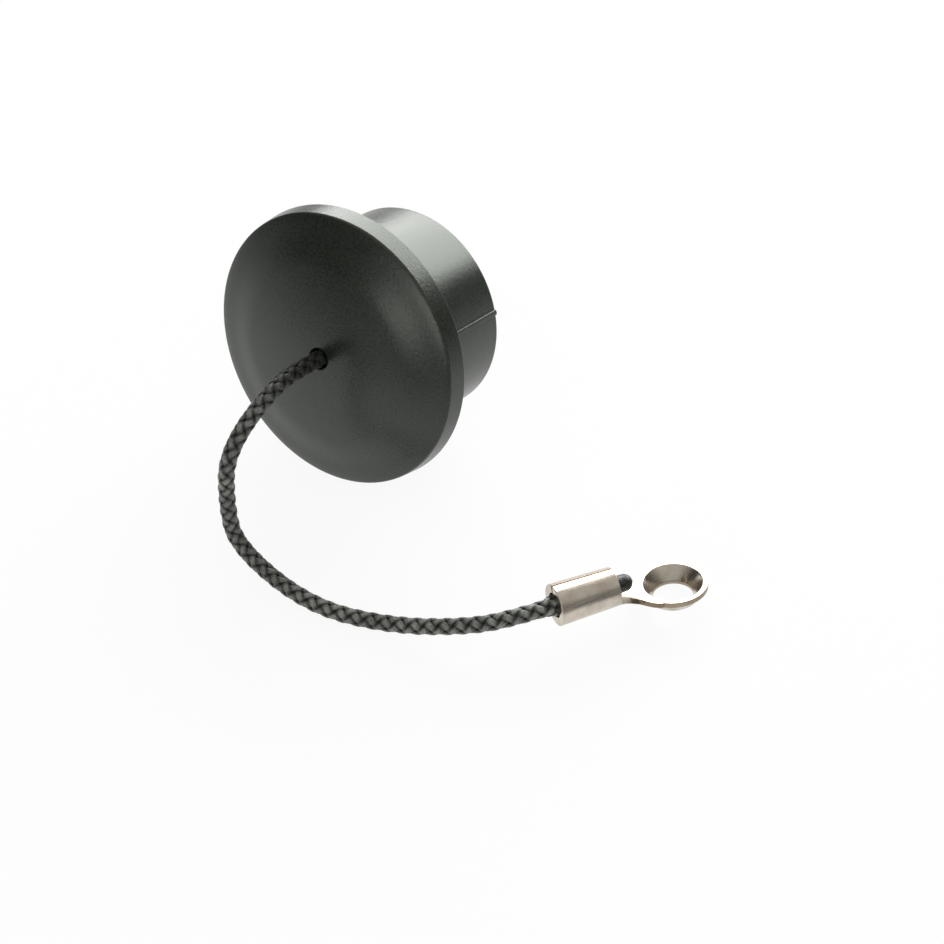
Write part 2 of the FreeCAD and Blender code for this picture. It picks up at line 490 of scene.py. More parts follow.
def new_material(name: str) -> tuple[Material, NodeBoard, ShaderNode]:
    """Make a material with one shader.

    Args:
        name: Name of the material.

    Returns:
        The material, a board on its nodes and its Principled shader.
    """
    material = bpy.data.materials.new(name)
    material.use_nodes = True
    return material, NodeBoard(material.node_tree), material.node_tree.nodes["Principled BSDF"]


def add_group(board: NodeBoard, group: NodeTree, vector: NodeSocket, scale: float) -> dict[str, NodeSocket]:
    """Place a shared effect in a material.

    Args:
        board: Board of the material.
        group: Node group of the effect.
        vector: Coordinates that it follows.
        scale: Its own scale here.

    Returns:
        What the effect puts out, by name.
    """
    return board.add("ShaderNodeGroup", {"node_tree": group}, Vector=vector, Scale=scale).outputs


def mark_value(board: NodeBoard, mark: Mark) -> NodeSocket:
    """Value that the mesh carries under a mark."""
    return board.add("ShaderNodeAttribute", {"attribute_name": mark.value}).outputs["Fac"]


@dataclass(frozen=True)
class MouldedPlastic:
    """Matt black moulding with a fine eroded grain, darker in its pits as painted shade."""

    dark: Colour = (0.0098, 0.0120, 0.0091)
    light: Colour = (0.0255, 0.0298, 0.0236)
    gloss_tint: Colour = (0.92, 1.0, 0.90)
    drift_scale: float = 120.0
    drift_tone: Span = (0.3, 0.6)
    pit_shade_share: float = -0.5
    grain_scale: float = 4200.0
    grain_strength: float = 0.55
    grain_depth: float = 0.00003
    gloss: Span = (0.245, 0.275)
    ior: float = 1.57

    def make(self, shared: SharedEffects) -> Material:
        """Build the material.

        Args:
            shared: Effects that several finishes use.

        Returns:
            The new material.
        """
        material, board, shader = new_material("black_moulding")
        place = board.add("ShaderNodeTexCoord").outputs["Object"]
        grain = add_group(board, shared.grain(), place, self.grain_scale)
        drift = add_group(board, shared.mottle(), place, self.drift_scale)["Drift"]
        # painted shade: colour darkened in the grain's pits
        pit_shade = board.combine("MULTIPLY", grain["Pits"], self.pit_shade_share)
        tone = board.combine("ADD", board.scaled(drift, self.drift_tone), pit_shade)
        board.wire(
            shader, Base_Color=board.blend(tone, self.dark, self.light),
            Roughness=board.spread(drift, WHOLE, self.gloss),
            Normal=board.relief(grain["Height"], self.grain_strength, self.grain_depth),
            IOR=self.ior, Specular_Tint=(*self.gloss_tint, 1.0),
        )
        return material


@dataclass(frozen=True)
class BraidFibre:
    """Black drawn yarn of the braid, with streaks along each strand; its mark paints light: a pale painted
    highlight on the strands' crowns, painted shade under them and near the cap.
    """

    dark: Colour = (0.004, 0.0055, 0.004)
    # light is the tone of the painted highlight on the strands' crowns
    light: Colour = (0.45, 0.48, 0.42)
    streaks: Place = (260.0, 9.0, 1.0)
    streak_scale: float = 1.6
    streak_tone: Span = (2.0, -0.3)
    streak_span: Span = (0.3, 0.7)
    drift_scale: float = 420.0
    drift_tone: Span = (0.5, 0.5)
    gloss: Span = (0.34, 0.5)
    fibre_strength: float = 0.5
    fibre_depth: float = 0.00003
    sheen: float = 0.05
    sheen_spread: float = 0.4

    def make(self, shared: SharedEffects) -> Material:
        """Build the material.

        Args:
            shared: Effects that several finishes use.

        Returns:
            The new material.
        """
        material, board, shader = new_material("black_braid")
        coords = board.add("ShaderNodeTexCoord").outputs
        along = board.add("ShaderNodeMapping", Vector=coords["UV"], Scale=self.streaks).outputs["Vector"]
        noise = board.add("ShaderNodeTexNoise", Vector=along, Scale=self.streak_scale, Detail=2.0)
        streaks = noise.outputs["Fac"]
        drift = add_group(board, shared.mottle(), coords["Object"], self.drift_scale)["Drift"]
        uneven = board.scaled(streaks, self.streak_tone)
        rubbed = board.combine("MULTIPLY", uneven, board.scaled(drift, self.drift_tone))
        # painted light from the mesh's mark: painted highlight on strand crowns, painted shade under them,
        # in the core and near the cap
        tone = board.combine("MULTIPLY", rubbed, mark_value(board, Mark.PAINTED_LIGHT))
        board.wire(
            shader, Base_Color=board.blend(tone, self.dark, self.light),
            Roughness=board.spread(streaks, self.streak_span, self.gloss),
            Normal=board.relief(streaks, self.fibre_strength, self.fibre_depth),
            Sheen_Weight=self.sheen, Sheen_Roughness=self.sheen_spread,
        )
        return material


@dataclass(frozen=True)
class MeltedYarn:
    """Cord end that was melted to a black bead."""

    dark: Colour = (0.006, 0.0065, 0.006)
    light: Colour = (0.021, 0.022, 0.0205)
    grain_scale: float = 1900.0
    grain_strength: float = 0.6
    grain_depth: float = 0.00008
    drift_scale: float = 900.0
    gloss: Span = (0.3, 0.55)

    def make(self, shared: SharedEffects) -> Material:
        """Build the material.

        Args:
            shared: Effects that several finishes use.

        Returns:
            The new material.
        """
        material, board, shader = new_material("melted_yarn")
        place = board.add("ShaderNodeTexCoord").outputs["Object"]
        grain = add_group(board, shared.grain(), place, self.grain_scale)
        drift = add_group(board, shared.mottle(), place, self.drift_scale)["Drift"]
        board.wire(
            shader, Base_Color=board.blend(drift, self.dark, self.light),
            Roughness=board.spread(grain["Pits"], WHOLE, self.gloss),
            Normal=board.relief(grain["Height"], self.grain_strength, self.grain_depth),
        )
        return material


@dataclass(frozen=True)
class PlatedSteel:
    """Bright plated strip with faint drawing lines along the barrel, bare and brown where it was cut."""

    heading_deg: float
    bare: Colour = (0.27, 0.20, 0.14)
    dull: Colour = (0.465, 0.415, 0.342)
    bright: Colour = (0.63, 0.578, 0.50)
    lines: Place = (0.04, 1.0, 1.0)
    line_scale: float = 5200.0
    line_strength: float = 0.1
    line_depth: float = 0.000006
    line_rough: float = 0.08
    drift_scale: float = 520.0
    drift_tone: Span = (0.5, 0.5)
    gloss: Span = (0.25, 0.18)
    cut_rough: float = 0.12

    def make(self, shared: SharedEffects) -> Material:
        """Build the material.

        Args:
            shared: Effects that several finishes use.

        Returns:
            The new material.
        """
        material, board, shader = new_material("bright_plating")
        place = board.add("ShaderNodeTexCoord").outputs["Object"]
        turn = (0.0, 0.0, -math.radians(self.heading_deg))
        turned = board.add("ShaderNodeMapping", Vector=place, Rotation=turn).outputs["Vector"]
        drawn = board.add("ShaderNodeMapping", Vector=turned, Scale=self.lines).outputs["Vector"]
        lines = add_group(board, shared.grain(), drawn, self.line_scale)
        drift = add_group(board, shared.mottle(), place, self.drift_scale)["Drift"]
        cut = mark_value(board, Mark.CUT)
        plated = board.scaled(drift, self.drift_tone)
        tone = board.combine("MULTIPLY", plated, board.combine("SUBTRACT", 1.0, cut))
        drawn_rough = board.combine("MULTIPLY", lines["Pits"], self.line_rough)
        bare_rough = board.combine("MULTIPLY", cut, self.cut_rough)
        marks = board.combine("ADD", drawn_rough, bare_rough)
        board.wire(
            shader, Base_Color=board.blend(tone, self.bare, self.dull, self.bright),
            Roughness=board.combine("ADD", marks, board.spread(drift, WHOLE, self.gloss)),
            Normal=board.relief(lines["Height"], self.line_strength, self.line_depth), Metallic=1.0,
        )
        return material


def dress(piece: Object, material: Material, slot: Slot, *nodes: Node) -> None:
    """Give a piece its material and hide the solids that it stands for.

    Args:
        piece: Piece to dress.
        material: Its material.
        slot: Slot of the record that its finish comes from; not used.
        nodes: Solids that it replaces.
    """
    piece.data.materials.clear()
    piece.data.materials.append(material)
    if nodes:
        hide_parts(*[node.value for node in nodes])


@dataclass
class Cap:
    """Moulded cap about local Z: sleeve mouth at zero, domed face upwards. Millimetres."""

    disc_r: float = 12.7
    rim_thickness: float = 1.85
    rim_draft: float = 0.18
    rim_front_round: float = 0.15
    rim_back_round: float = 0.1
    dome_height: float = 2.15
    dome_steps: int = 60
    shoulder_drop: float = 0.18
    shoulder_span: Span = (8.0, 11.0)
    edge_roll: float = 0.05
    edge_roll_width: float = 0.8
    face_wall: float = 2.0
    sleeve_r: float = 9.45
    sleeve_length: float = 9.6
    bore_r: float = 8.05
    inner_r: float = 7.8
    insert_depth: float = 6.2
    insert_round: float = 0.06
    mouth_outer_round: float = 0.2
    mouth_inner_round: float = 0.3
    root_fill: float = 0.25
    floor_fill: float = 0.5
    hole_r: float = 0.97
    hole_round: float = 0.1
    pad_r: float = 2.6
    pad_height: float = 0.4
    pad_round: float = 0.1
    rib_count: int = 2
    rib_height: float = 0.18
    rib_margin: float = 0.05
    rib_end_gap: float = 0.1
    rib_angle: float = 64.4
    rib_round: float = 0.09
    rib_corner: float = 0.6
    columns: int = 240
    sharp_deg: float = 35.0
    lean_deg: float = 18.886
    exit_at: Place = (0.0, -6.921, 13.279)

    def __post_init__(self) -> None:
        """Work out the sizes that follow."""
        self.front_r = self.disc_r - self.rim_draft
        self.front_z = self.sleeve_length + self.rim_thickness
        self.apex_z = self.front_z + self.dome_height
        rise = self.dome_height - self.shoulder_drop - self.edge_roll
        self.dome_sphere_r = (self.front_r ** 2 + rise ** 2) / (2 * rise)
        self.dome_centre_z = self.apex_z - self.dome_sphere_r
        self.floor_sphere_r = self.dome_sphere_r - self.face_wall
        self.seat_z = self.apex_z - self.face_wall - self.pad_height
        self.rib_start = self.mouth_outer_round + self.rib_margin
        self.rib_end = self.sleeve_length - self.root_fill - self.rib_margin

    def lay(self) -> Lay:
        """Frame in which the cap lies on its side.

        Returns:
            The frame, with the cord's exit in its place.
        """
        turn = Matrix.Rotation(math.radians(90 - self.lean_deg), 4, "X")
        axis = turn @ Vector(ALONG_Z)
        return Lay(Vector(self.exit_at) - axis * self.apex_z, turn)

    def on_sphere(self, radius: float, sphere_r: float) -> float:
        """Height at a radius on a sphere about the dome's centre."""
        return self.dome_centre_z + math.sqrt(sphere_r ** 2 - radius ** 2)

    def face_drop(self, radius: float) -> float:
        """How far the face lies under the dome's sphere, at its faint shoulder and its soft edge.

        Args:
            radius: Distance from the middle of the face.

        Returns:
            The drop along the axis.
        """
        edge = max(0.0, (radius - self.front_r) / self.edge_roll_width + 1)
        return self.shoulder_drop * soft_rise(radius, self.shoulder_span) + self.edge_roll * edge * edge

    def _draw_section(self, bm: BMesh) -> None:
        """Draw the wall's section, from the mouth over the dome to the bore.

        Args:
            bm: Mesh that takes the section.
        """
        line = SectionLine(bm)
        line.to(
            (self.bore_r, 0.0),
            (self.sleeve_r, 0.0),
            (self.sleeve_r, self.rib_start),
            (self.sleeve_r, self.rib_end),
            (self.sleeve_r, self.sleeve_length),
            (self.disc_r, self.sleeve_length),
            (self.front_r, self.on_sphere(self.front_r, self.dome_sphere_r)),
        )
        full = math.asin(self.front_r / self.dome_sphere_r)
        rest = math.asin(self.hole_r / self.dome_sphere_r)
        for vert in line.swing((0.0, self.dome_centre_z), rest - full, self.dome_steps):
            vert.co.z -= self.face_drop(vert.co.x)
        line.to(
            (self.hole_r, self.seat_z),
            (self.pad_r, self.seat_z),
            (self.pad_r, self.on_sphere(self.pad_r, self.floor_sphere_r)),
            (self.inner_r, self.on_sphere(self.inner_r, self.floor_sphere_r)),
            (self.inner_r, self.insert_depth),
            (self.bore_r, self.insert_depth),
        )
        line.close()

    def _raise_ribs(self, bm: BMesh) -> float:
        """Raise the crush ribs from the sleeve's wall, each two columns wide.

        Args:
            bm: Mesh of the cap.

        Returns:
            Turn in radians that brings the ribs to their places.
        """
        column = math.tau / self.columns
        wanted = math.radians(90 - self.rib_angle)
        first = round(wanted / column) * column
        spacing = math.tau / self.rib_count
        faces = []
        for face in bm.faces:
            middle = face.calc_center_median()
            off_rib = (math.atan2(middle.y, middle.x) - first + spacing / 2) % spacing - spacing / 2
            outside = middle.xy.length > (self.sleeve_r + self.bore_r) / 2
            if outside and abs(off_rib) < column and self.rib_start < middle.z < self.rib_end:
                faces.append(face)
        _, fresh = draw_out(bm, faces)
        for vert in fresh:
            vert.co.xy = vert.co.xy.normalized() * (self.sleeve_r + self.rib_height)
            if vert.co.z > self.rib_end - SAME_MM:
                vert.co.z = self.sleeve_length - SAME_MM
            else:
                vert.co.z = self.rib_end_gap
        crest = self.sleeve_r + self.rib_height - SAME_MM
        edges = [
            edge for edge in bm.edges
            if all(crest < vert.co.xy.length < crest + 2 * SAME_MM for vert in edge.verts)
            and edge.calc_face_angle(0.0) > self.rib_corner
        ]
        round_off(bm, edges, self.rib_round, segments=3)
        return wanted - first

    def build(self) -> Object:
        """Model the cap as one moulding.

        Returns:
            The piece.
        """
        bm = bmesh.new()
        self._draw_section(bm)
        spin_round(bm, ALONG_Z, self.columns)
        turn = self._raise_ribs(bm)
        for radius, height, offset, segments in (
            (self.bore_r, 0.0, self.mouth_inner_round, 3),
            (self.sleeve_r, 0.0, self.mouth_outer_round, 5),
            (self.sleeve_r, self.sleeve_length, self.root_fill, 3),
            (self.disc_r, self.sleeve_length, self.rim_back_round, 4),
            (self.front_r, self.front_z, self.rim_front_round, 4),
            (self.hole_r, self.on_sphere(self.hole_r, self.dome_sphere_r), self.hole_round, 4),
            (self.hole_r, self.seat_z, self.pad_round, 2),
            (self.pad_r, self.seat_z, self.pad_round, 2),
            (self.inner_r, self.on_sphere(self.inner_r, self.floor_sphere_r), self.floor_fill, 4),
            (self.inner_r, self.insert_depth, self.insert_round, 2),
        ):
            round_off(bm, ring_edges(bm, radius, height), offset, segments)
        bmesh.ops.rotate(bm, verts=bm.verts, cent=ORIGIN, matrix=Matrix.Rotation(turn, 3, "Z"))
        bmesh.ops.recalc_face_normals(bm, faces=bm.faces)
        piece = make_piece("cap_moulding", bm, self.lay().to_row(), self.sharp_deg)
        even_shading(piece)
        return piece

    def dress(self, piece: Object, shared: SharedEffects) -> None:
        """Give the cap its matt black finish."""
        dress(piece, MouldedPlastic().make(shared), Slot.CAP, Node.CAP)


@dataclass
class Eyelet:
    """Eyelet pressed from one strip: barrel along local X from its mouth, Z upwards. Millimetres."""

    mouth_r: float = 1.85
    tail_r: float = 1.71
    barrel_bore_r: float = 1.1
    barrel_length: float = 5.55
    barrel_edge_round: float = 0.14
    barrel_columns: int = 96
    seam_gap: float = 0.1
    seam_angle: float = 9.0
    neck_columns: int = 28
    neck_rows: int = 14
    neck_width: float = 2.6
    neck_thickness: float = 0.5
    neck_settle_span: Span = (0.0, 0.8)
    neck_flare_span: Span = (0.5, 1.0)
    eye_r: float = 3.05
    eye_rim_width: float = 0.45
    eye_hole_r: float = 1.75
    eye_depth: float = 1.5
    eye_land: float = 0.3
    eye_foot_wall: float = 0.4
    eye_reach: float = 5.55
    eye_drop: float = 1.55
    eye_columns: int = 100
    eye_lip_round: float = 0.1
    eye_foot_round: float = 0.06
    eye_hole_round: float = 0.04
    eye_land_round: float = 0.05
    edge_round: float = 0.07
    corner: float = 0.9
    upright: float = 0.6
    eye_cut: float = 0.75
    sharp_deg: float = 40.0
    mouth_at: Place = (27.99, -10.19, 4.04)
    heading_deg: float = 60.8
    pitch_deg: float = -2.5
    twist_deg: float = -17.4

    def __post_init__(self) -> None:
        """Work out the sizes that follow."""
        self.eye_x = self.barrel_length + self.eye_reach
        self.neck_turn = math.pi * self.neck_columns / self.eye_columns

    def lay(self) -> Lay:
        """Frame in which the eyelet lies on the table.

        Returns:
            The frame, with the barrel's mouth in its place.
        """
        heading = Matrix.Rotation(math.radians(self.heading_deg), 4, "Z")
        pitch = Matrix.Rotation(math.radians(-self.pitch_deg), 4, "Y")
        twist = Matrix.Rotation(math.radians(self.twist_deg), 4, "X")
        return Lay(Vector(self.mouth_at), heading @ pitch @ twist)

    def _roll_barrel(self, bm: BMesh) -> None:
        """Roll the barrel's wall round from one side of the seam to the other.

        Args:
            bm: Mesh that takes the barrel.
        """
        corners = (
            (0.0, self.barrel_bore_r),
            (0.0, self.mouth_r),
            (self.barrel_length, self.tail_r),
            (self.barrel_length, self.barrel_bore_r),
        )
        half_gap = math.asin(self.seam_gap / 2 / self.mouth_r)
        face = bm.faces.new([bm.verts.new((x, 0.0, r)) for x, r in corners])
        start = Matrix.Rotation(-math.radians(self.seam_angle) - half_gap, 3, "X")
        bmesh.ops.rotate(bm, verts=bm.verts, cent=ORIGIN, matrix=start)
        bmesh.ops.spin(
            bm, geom=[face], cent=ORIGIN, axis=AGAINST_X, angle=math.tau - 2 * half_gap,
            steps=self.barrel_columns, use_duplicate=False,
        )
        bmesh.ops.recalc_face_normals(bm, faces=bm.faces)

    def _neck_point(self, start: Vector, across: float, below: bool, share: float) -> Vector:
        """Point of the neck between the barrel's end and the eye's outer wall.

        Args:
            start: Where its line leaves the barrel.
            across: Place across the neck, from -1 to 1.
            below: True for the underside.
            share: Way along the neck, from 0 to 1.

        Returns:
            The point.
        """
        turn = across * self.neck_turn
        wall_x = self.eye_x - self.eye_r * math.cos(turn)
        flat_z = -self.eye_drop - (self.neck_thickness if below else 0.0)
        strip_y = across * self.neck_width / 2
        flare = soft_rise(share, self.neck_flare_span)
        flat_y = strip_y + (self.eye_r * math.sin(turn) - strip_y) * flare
        soft = soft_rise(share, self.neck_settle_span)
        return Vector((
            start.x + (wall_x - start.x) * share,
            start.y + (flat_y - start.y) * soft,
            start.z + (flat_z - start.z) * soft,
        ))

    def _draw_neck(self, bm: BMesh) -> None:
        """Draw the barrel's lower wall out, row by row, into a flat strip that meets the eye's wall.

        Args:
            bm: Mesh of the barrel.
        """
        def off_down(face: BMFace) -> float:
            """Angle of a face round the barrel from straight down."""
            middle = face.calc_center_median()
            return math.atan2(middle.y, -middle.z)

        ends = [face for face in bm.faces if face.calc_center_median().x > self.barrel_length - SAME_MM]
        faces = sorted(ends, key=lambda face: abs(off_down(face)))[:self.neck_columns]
        turns = {vert: math.atan2(vert.co.y, -vert.co.z) for face in faces for vert in face.verts}
        first, last = min(turns.values()), max(turns.values())
        leave = []
        for vert, turn in turns.items():
            column = round((turn - first) / (last - first) * self.neck_columns)
            below = vert.co.yz.length > (self.tail_r + self.barrel_bore_r) / 2
            leave.append((vert.co.copy(), vert.co.copy(), 2 * column / self.neck_columns - 1, below))
        for row in range(self.neck_rows):
            faces, fresh = draw_out(bm, faces)
            drawn = {vert: min(leave, key=lambda mark: (mark[0] - vert.co).length) for vert in fresh}
            leave = []
            for vert, (_, start, across, below) in drawn.items():
                vert.co = self._neck_point(start, across, below, (row + 1) / self.neck_rows)
                leave.append((vert.co.copy(), start, across, below))
        bmesh.ops.delete(bm, geom=faces, context="FACES")

    def _press_eye(self) -> BMesh:
        """Press the countersunk eye, open where the neck runs into its wall.

        Returns:
            Mesh of the eye in its place before the neck.
        """
        bm = bmesh.new()
        lip_r = self.eye_r - self.eye_rim_width
        foot_r = self.eye_hole_r + self.eye_foot_wall
        cone_depth = self.eye_depth - self.eye_land
        under_r = self.eye_r - (self.eye_r - foot_r) * self.neck_thickness / self.eye_depth
        line = SectionLine(bm)
        line.to(
            (lip_r, 0.0),
            (self.eye_r, 0.0),
            (self.eye_r, -self.neck_thickness),
            (under_r, -self.neck_thickness),
            (foot_r, -self.eye_depth),
            (self.eye_hole_r, -self.eye_depth),
            (self.eye_hole_r, -cone_depth),
        )
        line.close()
        spin_round(bm, ALONG_Z, self.eye_columns)
        for radius, height, offset, segments in (
            (lip_r, 0.0, self.eye_lip_round, 4),
            (foot_r, -self.eye_depth, self.eye_foot_round, 2),
            (self.eye_hole_r, -self.eye_depth, self.eye_hole_round, 2),
            (self.eye_hole_r, -cone_depth, self.eye_land_round, 3),
        ):
            round_off(bm, ring_edges(bm, radius, height), offset, segments)
        wall = []
        for face in bm.faces:
            middle = face.calc_center_median()
            at_wall = middle.xy.length > self.eye_r - self.edge_round
            halfway = abs(middle.z + self.neck_thickness / 2) < SAME_MM
            if at_wall and halfway and abs(math.atan2(middle.y, -middle.x)) < self.neck_turn:
                wall.append(face)
        bmesh.ops.delete(bm, geom=wall, context="FACES")
        bm.transform(Matrix.Translation((self.eye_x, 0.0, -self.eye_drop)))
        return bm

    def _mark_cuts(self, bm: BMesh) -> None:
        """Mark the faces along which the strip was cut out of its plated sheet.

        Args:
            bm: Mesh of the whole strip.
        """
        cut = bm.faces.layers.float.new(Mark.CUT.value)
        eye = Vector((self.eye_x, 0.0))
        for face in bm.faces:
            middle = face.calc_center_median()
            off_eye = (middle.xy - eye).length
            turn = math.atan2(middle.y, middle.z)
            off_seam = abs(turn - math.radians(self.seam_angle)) * middle.yz.length
            stands = abs(face.normal.z) < self.upright
            if middle.x < self.barrel_length - self.edge_round:
                bare = off_seam < self.seam_gap / 2 + self.edge_round
            elif off_eye < self.eye_r - self.eye_rim_width:
                bare = off_eye < self.eye_hole_r + self.eye_hole_round and stands
            elif middle.x < self.barrel_length + SAME_MM:
                bare = face.normal.x > self.upright
            else:
                bare = stands
            face[cut] = float(bare) * (self.eye_cut if off_eye < self.eye_r + SAME_MM else 1.0)

    def build(self) -> Object:
        """Model the eyelet as one strip.

        Returns:
            The piece.
        """
        bm = bmesh.new()
        self._roll_barrel(bm)
        self._draw_neck(bm)
        pour_into(bm, self._press_eye())
        bmesh.ops.remove_doubles(bm, verts=bm.verts, dist=SAME_MM)
        bmesh.ops.recalc_face_normals(bm, faces=bm.faces)
        mouth = [
            edge for edge in bm.edges
            if all(abs(vert.co.x) < SAME_MM for vert in edge.verts)
            and edge.calc_face_angle(0.0) > self.corner
        ]
        round_off(bm, mouth, self.barrel_edge_round, segments=3)
        sharp = [
            edge for edge in bm.edges if edge.is_manifold and edge.calc_face_angle_signed(0.0) > self.corner
        ]
        round_off(bm, sharp, self.edge_round, segments=3)
        bmesh.ops.remove_doubles(bm, verts=bm.verts, dist=MERGE_MM)
        bmesh.ops.triangulate(bm, faces=[face for face in bm.faces if len(face.verts) > 4])
        bmesh.ops.dissolve_degenerate(bm, edges=bm.edges, dist=MERGE_MM)
        bmesh.ops.recalc_face_normals(bm, faces=bm.faces)
        self._mark_cuts(bm)
        piece = make_piece("eyelet_pressing", bm, self.lay().to_row(), self.sharp_deg)
        even_shading(piece)
        return piece

    def dress(self, piece: Object, shared: SharedEffects) -> None:
        """Give the eyelet its bright plating."""
        dress(piece, PlatedSteel(self.heading_deg).make(shared), Slot.EYELET, Node.EYELET)


class CordLine:
    """Line that a cord follows, read from a NURBS spline, with a frame that goes along without twist."""

    def __init__(self, name: str, route: list[Vector], resolution: int) -> None:
        """Lay a spline through its control points and read it.

        Args:
            name: Name for the passing curve.
            route: Control points in millimetres.
            resolution: Points read per control point.
        """
        curve = bpy.data.curves.new(name, "CURVE")
        curve.dimensions = "3D"
        curve.resolution_u = resolution
        spline = curve.splines.new("NURBS")
        spline.points.add(len(route) - 1)
        for point, place in zip(spline.points, route):
            point.co = (*place, 1.0)
        spline.order_u = 3
        spline.use_endpoint_u = True
        carrier = put_in_scene(name, curve)
        mesh = bpy.data.meshes.new_from_object(carrier)
        self.points = [vert.co.copy() for vert in mesh.vertices]
        bpy.data.objects.remove(carrier)
        bpy.data.curves.remove(curve)
        bpy.data.meshes.remove(mesh)
        self._measure()

    def _measure(self) -> None:
        """Find the length up to each point and carry a cross direction along."""
        self.lengths = [0.0]
        for before, after in zip(self.points, self.points[1:]):
            self.lengths.append(self.lengths[-1] + (after - before).length)
        count = len(self.points)
        self.along = []
        for index in range(count):
            before = self.points[max(0, index - 1)]
            after = self.points[min(count - 1, index + 1)]
            self.along.append((after - before).normalized())
        side = self.along[0].orthogonal().normalized()
        self.sides = [side]
        for before, after in zip(self.along, self.along[1:]):
            side = (before.rotation_difference(after) @ side).normalized()
            self.sides.append(side)

    @property
    def length(self) -> float:
        """Length of the line in millimetres."""
        return self.lengths[-1]

    def at(self, run: float) -> tuple[Vector, Vector, Vector, Vector]:
        """Place and frame at a run from the start.

        Args:
            run: Length along the line, in millimetres.

        Returns:
            The point, the direction along, and the two cross directions.
        """
        high = min(max(1, bisect.bisect_right(self.lengths, run)), len(self.lengths) - 1)
        low = high - 1
        share = (run - self.lengths[low]) / max(MERGE_MM, self.lengths[high] - self.lengths[low])
        point = self.points[low].lerp(self.points[high], share)
        along = self.along[low].lerp(self.along[high], share).normalized()
        side = self.sides[low].lerp(self.sides[high], share)
        side = (side - along * side.dot(along)).normalized()
        return point, along, side, along.cross(side)


@dataclass
class Braid:
    """Tubular braid: flat strands that pass over and under one another round a line. Millimetres."""

    outer_r: float = 0.75
    strands_each_way: int = 4
    helix_pitch: float = 5.4
    strand_width: float = 0.6
    strand_thickness: float = 0.18
    strand_flatness: float = 0.6
    weave_depth: float = 0.055
    core_r: float = 0.5
    core_facets: int = 12
    core_step: float = 0.4
    # painted shade on the cord where it leaves the cap: its tone there and the run over which it clears
    cap_shade_tone: float = 0.14
    cap_shade_span: Span = (4.0, 16.0)
    # shape of the painted highlight on each strand's crown where it passes over
    highlight_span: Span = (-0.5, 1.0)
    highlight_edge: float = 1.4
    steps_per_stitch: int = 14
    facets: int = 10
    swell: Callable[[float], float] = field(default=lambda run: 0.0)

    def _tube(
        self, bm: BMesh, line: CordLine, facets: int, step: float,
        skin: Callable[[float, float], tuple[Vector, float]],
    ) -> None:
        """Roll a grid into a tube along the line and close its ends.

        Args:
            bm: Mesh that takes the tube.
            line: Line that it follows.
            facets: Facets round the tube.
            step: Length of a step along the line.
            skin: Place of the surface for a length and an angle, and its painted light there: painted
                highlight where the strand stands out, painted shade under it and near the cap.
        """
        part = bmesh.new()
        part.loops.layers.uv.new(Mark.ALONG.value)
        crown = part.verts.layers.float.new(Mark.PAINTED_LIGHT.value)
        bmesh.ops.create_grid(
            part, x_segments=round(line.length / step), y_segments=facets, size=0.5, calc_uvs=True,
        )
        for vert in part.verts:
            vert.co, vert[crown] = skin((vert.co.x + 0.5) * line.length, (vert.co.y + 0.5) * math.tau)
        bmesh.ops.remove_doubles(part, verts=part.verts, dist=MERGE_MM)
        bmesh.ops.holes_fill(part, edges=[edge for edge in part.edges if edge.is_boundary], sides=0)
        bmesh.ops.recalc_face_normals(part, faces=part.faces)
        pour_into(bm, part)

    def _strand(self, bm: BMesh, line: CordLine, lean: Lean, index: int) -> None:
        """Wind one strand.

        Args:
            bm: Mesh that takes the strand.
            line: Line of the cord.
            lean: Way in which it winds.
            index: Its number among the strands that wind that way.
        """
        way = lean.value
        start = math.tau * index / self.strands_each_way
        stitch = self.helix_pitch / self.strands_each_way

        def skin(run: float, angle: float) -> tuple[Vector, float]:
            """Surface of the strand.

            Args:
                run: Length along the cord.
                angle: Angle round the strand.

            Returns:
                The point, and its painted light: painted highlight on the strand's crown, painted shade
                    where it passes under and near the cap.
            """
            point, along, side, up = line.at(run)
            turn = start + way * math.tau * run / self.helix_pitch
            outward = around(side, up, turn)
            round_way = around(up, -side, turn)
            wave = way * math.cos(math.tau * run / stitch)
            sunk = self.strand_thickness / 2 + self.weave_depth * (1 - wave)
            reach = self.outer_r + self.swell(run) - sunk
            slope = math.atan2(math.tau * reach, self.helix_pitch)
            ahead = along * math.cos(slope) + round_way * (way * math.sin(slope))
            across = outward.cross(ahead)
            wide = math.cos(angle) * self.strand_width / 2
            rise = math.sin(angle)
            high = math.copysign(abs(rise) ** self.strand_flatness, rise) * self.strand_thickness / 2
            sag = (wide * math.cos(slope)) ** 2 / (2 * reach)
            # painted shade near the cap: strands darker over the first runs from the cap's exit
            clear_of_cap_shade = self.cap_shade_tone + (1 - self.cap_shade_tone) * soft_rise(run, self.cap_shade_span)
            # painted highlight on the strand's outer crown at its over-passes, none (painted shade) where
            # it passes under
            crown = clear_of_cap_shade * soft_rise(wave, self.highlight_span) * max(0.0, rise) ** self.highlight_edge
            return point + outward * (reach + high - sag) + across * wide, crown

        self._tube(bm, line, self.facets, stitch / self.steps_per_stitch, skin)

    def build(self, line: CordLine) -> BMesh:
        """Braid the strands round a core.

        Args:
            line: Line of the cord.

        Returns:
            Mesh of the braid in millimetres.
        """
        bm = bmesh.new()
        bm.loops.layers.uv.new(Mark.ALONG.value)
        bm.verts.layers.float.new(Mark.PAINTED_LIGHT.value)
        for lean in Lean:
            for index in range(self.strands_each_way):
                self._strand(bm, line, lean, index)

        def core(run: float, angle: float) -> tuple[Vector, float]:
            """Surface of the core, which stands out nowhere and so gets the darkest tone, painted shade
            between the strands.
            """
            point, _, side, up = line.at(run)
            return point + around(side, up, angle) * (self.core_r + self.swell(run)), 0.0

        self._tube(bm, line, self.core_facets, self.core_step, core)
        return bm


